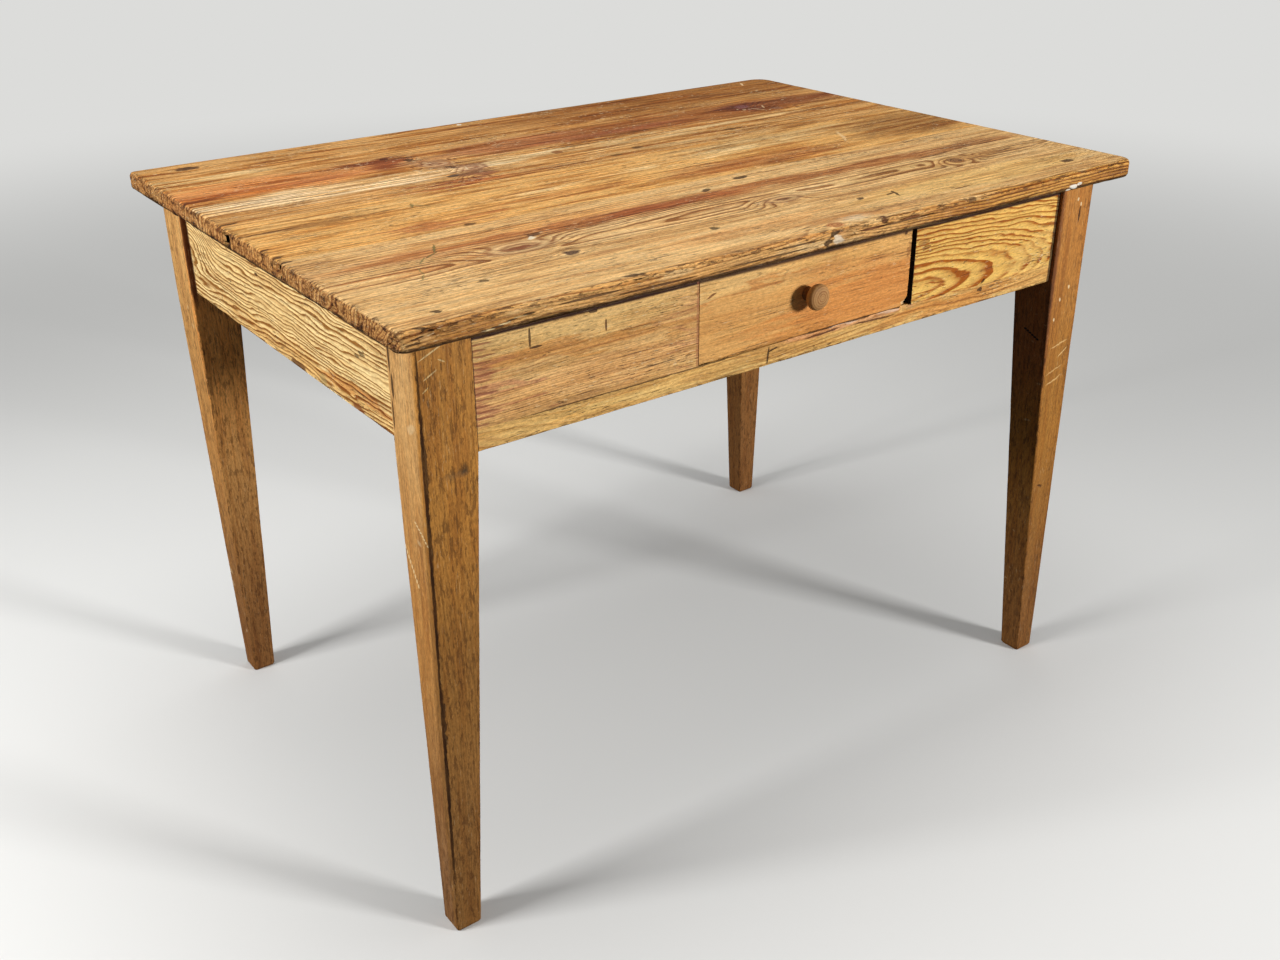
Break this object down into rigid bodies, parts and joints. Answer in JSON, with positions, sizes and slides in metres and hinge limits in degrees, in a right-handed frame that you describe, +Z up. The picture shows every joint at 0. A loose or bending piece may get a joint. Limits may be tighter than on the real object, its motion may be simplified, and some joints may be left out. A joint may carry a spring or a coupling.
{
  "type": "tavern table",
  "caption": "Old pine table with a plank top, square tapered legs and a knobbed drawer that slides out between fixed panels in its front.",
  "frame": {"origin": "on the floor under the middle of the top", "axes": "+X along the table's length, to the right of someone facing the drawer; +Y to the back; +Z up"},
  "size_m": [1.08, 0.75, 0.76],
  "materials": {
    "top_pine": "worn waxed pine with reddish heartwood streaks and knots",
    "apron_pine": "waxed yellow pine with dark growth lines",
    "drawer_front_pine": "waxed orange pine, fine straight grain",
    "leg_wood": "worn brown waxed wood, scratched, darker at the feet",
    "inner_pine": "bare dusty pine",
    "knob_wood": "turned wood, rubbed dull"
  },
  "bodies": {
    "frame": {"top_board_back": "top_pine", "top_board_middle": "top_pine", "top_board_front": "top_pine", "leg_front_left": "leg_wood", "leg_front_right": "leg_wood", "leg_back_left": "leg_wood", "leg_back_right": "leg_wood", "apron_left": "apron_pine", "apron_right": "apron_pine", "apron_back": "apron_pine", "front_rail": "apron_pine", "front_panel_left": "apron_pine", "front_panel_right": "apron_pine", "drawer_runner_left": "inner_pine", "drawer_runner_right": "inner_pine", "drawer_guide_left": "inner_pine", "drawer_guide_right": "inner_pine", "drawer_stops": "inner_pine", "glue_blocks": "inner_pine"},
    "drawer": {"drawer_front": "drawer_front_pine", "drawer_side_left": "inner_pine", "drawer_side_right": "inner_pine", "drawer_back": "inner_pine", "drawer_bottom": "inner_pine", "drawer_knob": "knob_wood"}
  },
  "joints": [
    {"name": "drawer_slide", "type": "slide", "parent": "frame", "child": "drawer", "axis": [0, -1, 0], "range_m": [0, 0.4]}
  ]
}
